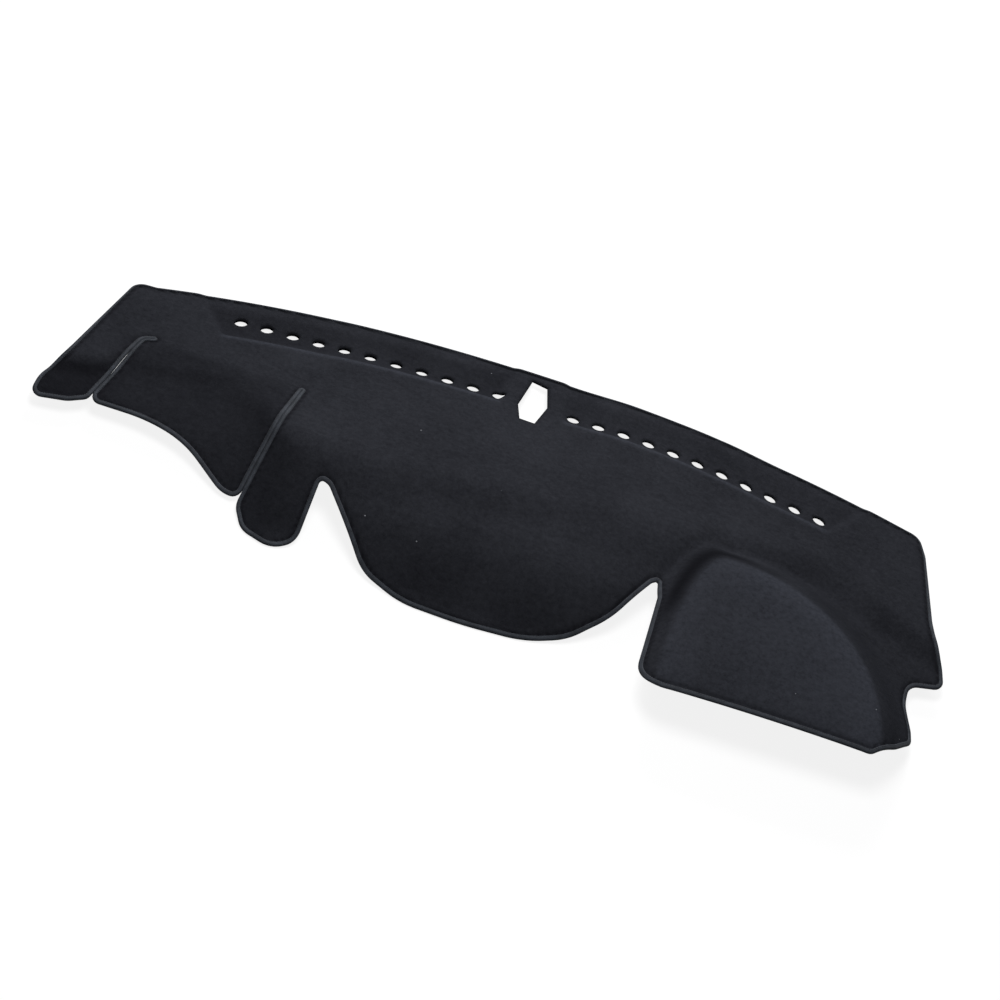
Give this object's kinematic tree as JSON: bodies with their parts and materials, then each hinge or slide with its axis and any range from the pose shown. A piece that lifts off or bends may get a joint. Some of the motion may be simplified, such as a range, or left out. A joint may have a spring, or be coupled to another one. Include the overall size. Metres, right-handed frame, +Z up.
{
  "type": "dashboard cover mat",
  "caption": "Moulded black felt mat that covers a dashboard, with a taped edge, a row of air slots, a six-sided sensor opening, a slit airbag flap and a raised instrument hood.",
  "frame": {"origin": "on the table's surface, under the middle of the mat's overall box", "axes": "+X towards the end with the instrument hood, which is on the right seen from a seat, +Y towards the windscreen, +Z up"},
  "size_m": [1.4016, 0.5542, 0.0914],
  "materials": {
    "felt": "short matt needled pile, black",
    "tape": "woven binding tape with a slight sheen, dark blue grey"
  },
  "bodies": {
    "root": {"felt_sheet": "felt", "edge_tape": "tape"}
  },
  "joints": []
}
